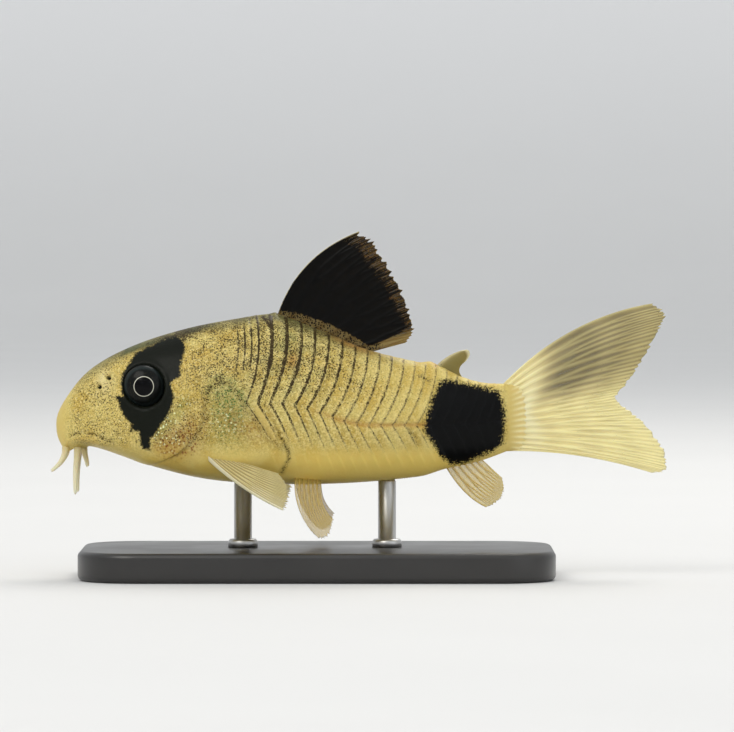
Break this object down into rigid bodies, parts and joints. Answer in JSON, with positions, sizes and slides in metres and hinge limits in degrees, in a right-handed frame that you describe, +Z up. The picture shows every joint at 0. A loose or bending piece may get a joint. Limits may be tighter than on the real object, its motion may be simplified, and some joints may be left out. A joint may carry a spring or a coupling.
{
  "type": "corydoras catfish model",
  "caption": "Still life-size model of a small armoured catfish with spread fins and barbels, held level on a low display stand.",
  "frame": {"origin": "on the underside of the stand's base, at its centre", "axes": "+Z up, the fish faces -X and its left side faces -Y"},
  "size_m": [0.052, 0.02, 0.0292],
  "materials": {
    "skin": "satin with a wet sheen, speckled",
    "tail_skin": "satin with a wet sheen",
    "dark_fin": "satin, thin membrane",
    "membrane": "satin, thin translucent membrane",
    "barbel": "satin, translucent",
    "eye": "glossy",
    "stand_base": "satin black",
    "stand_rod": "brushed"
  },
  "bodies": {
    "root": {"head": "skin", "gill_cover_left": "skin", "gill_cover_right": "skin", "trunk": "skin", "tail": "tail_skin", "eye_left": "eye", "eye_right": "eye", "upper_barbel_left": "barbel", "upper_barbel_right": "barbel", "lower_barbel_left": "barbel", "lower_barbel_right": "barbel", "lip_flap_left": "barbel", "lip_flap_right": "barbel", "dorsal_fin": "dark_fin", "adipose_fin": "membrane", "anal_fin": "membrane", "tail_fin_upper": "membrane", "tail_fin_lower": "membrane", "pectoral_fin_left": "membrane", "pectoral_fin_right": "membrane", "pelvic_fin_left": "membrane", "pelvic_fin_right": "membrane", "stand_base": "stand_base", "stand_rod_front": "stand_rod", "stand_rod_back": "stand_rod"}
  },
  "joints": []
}
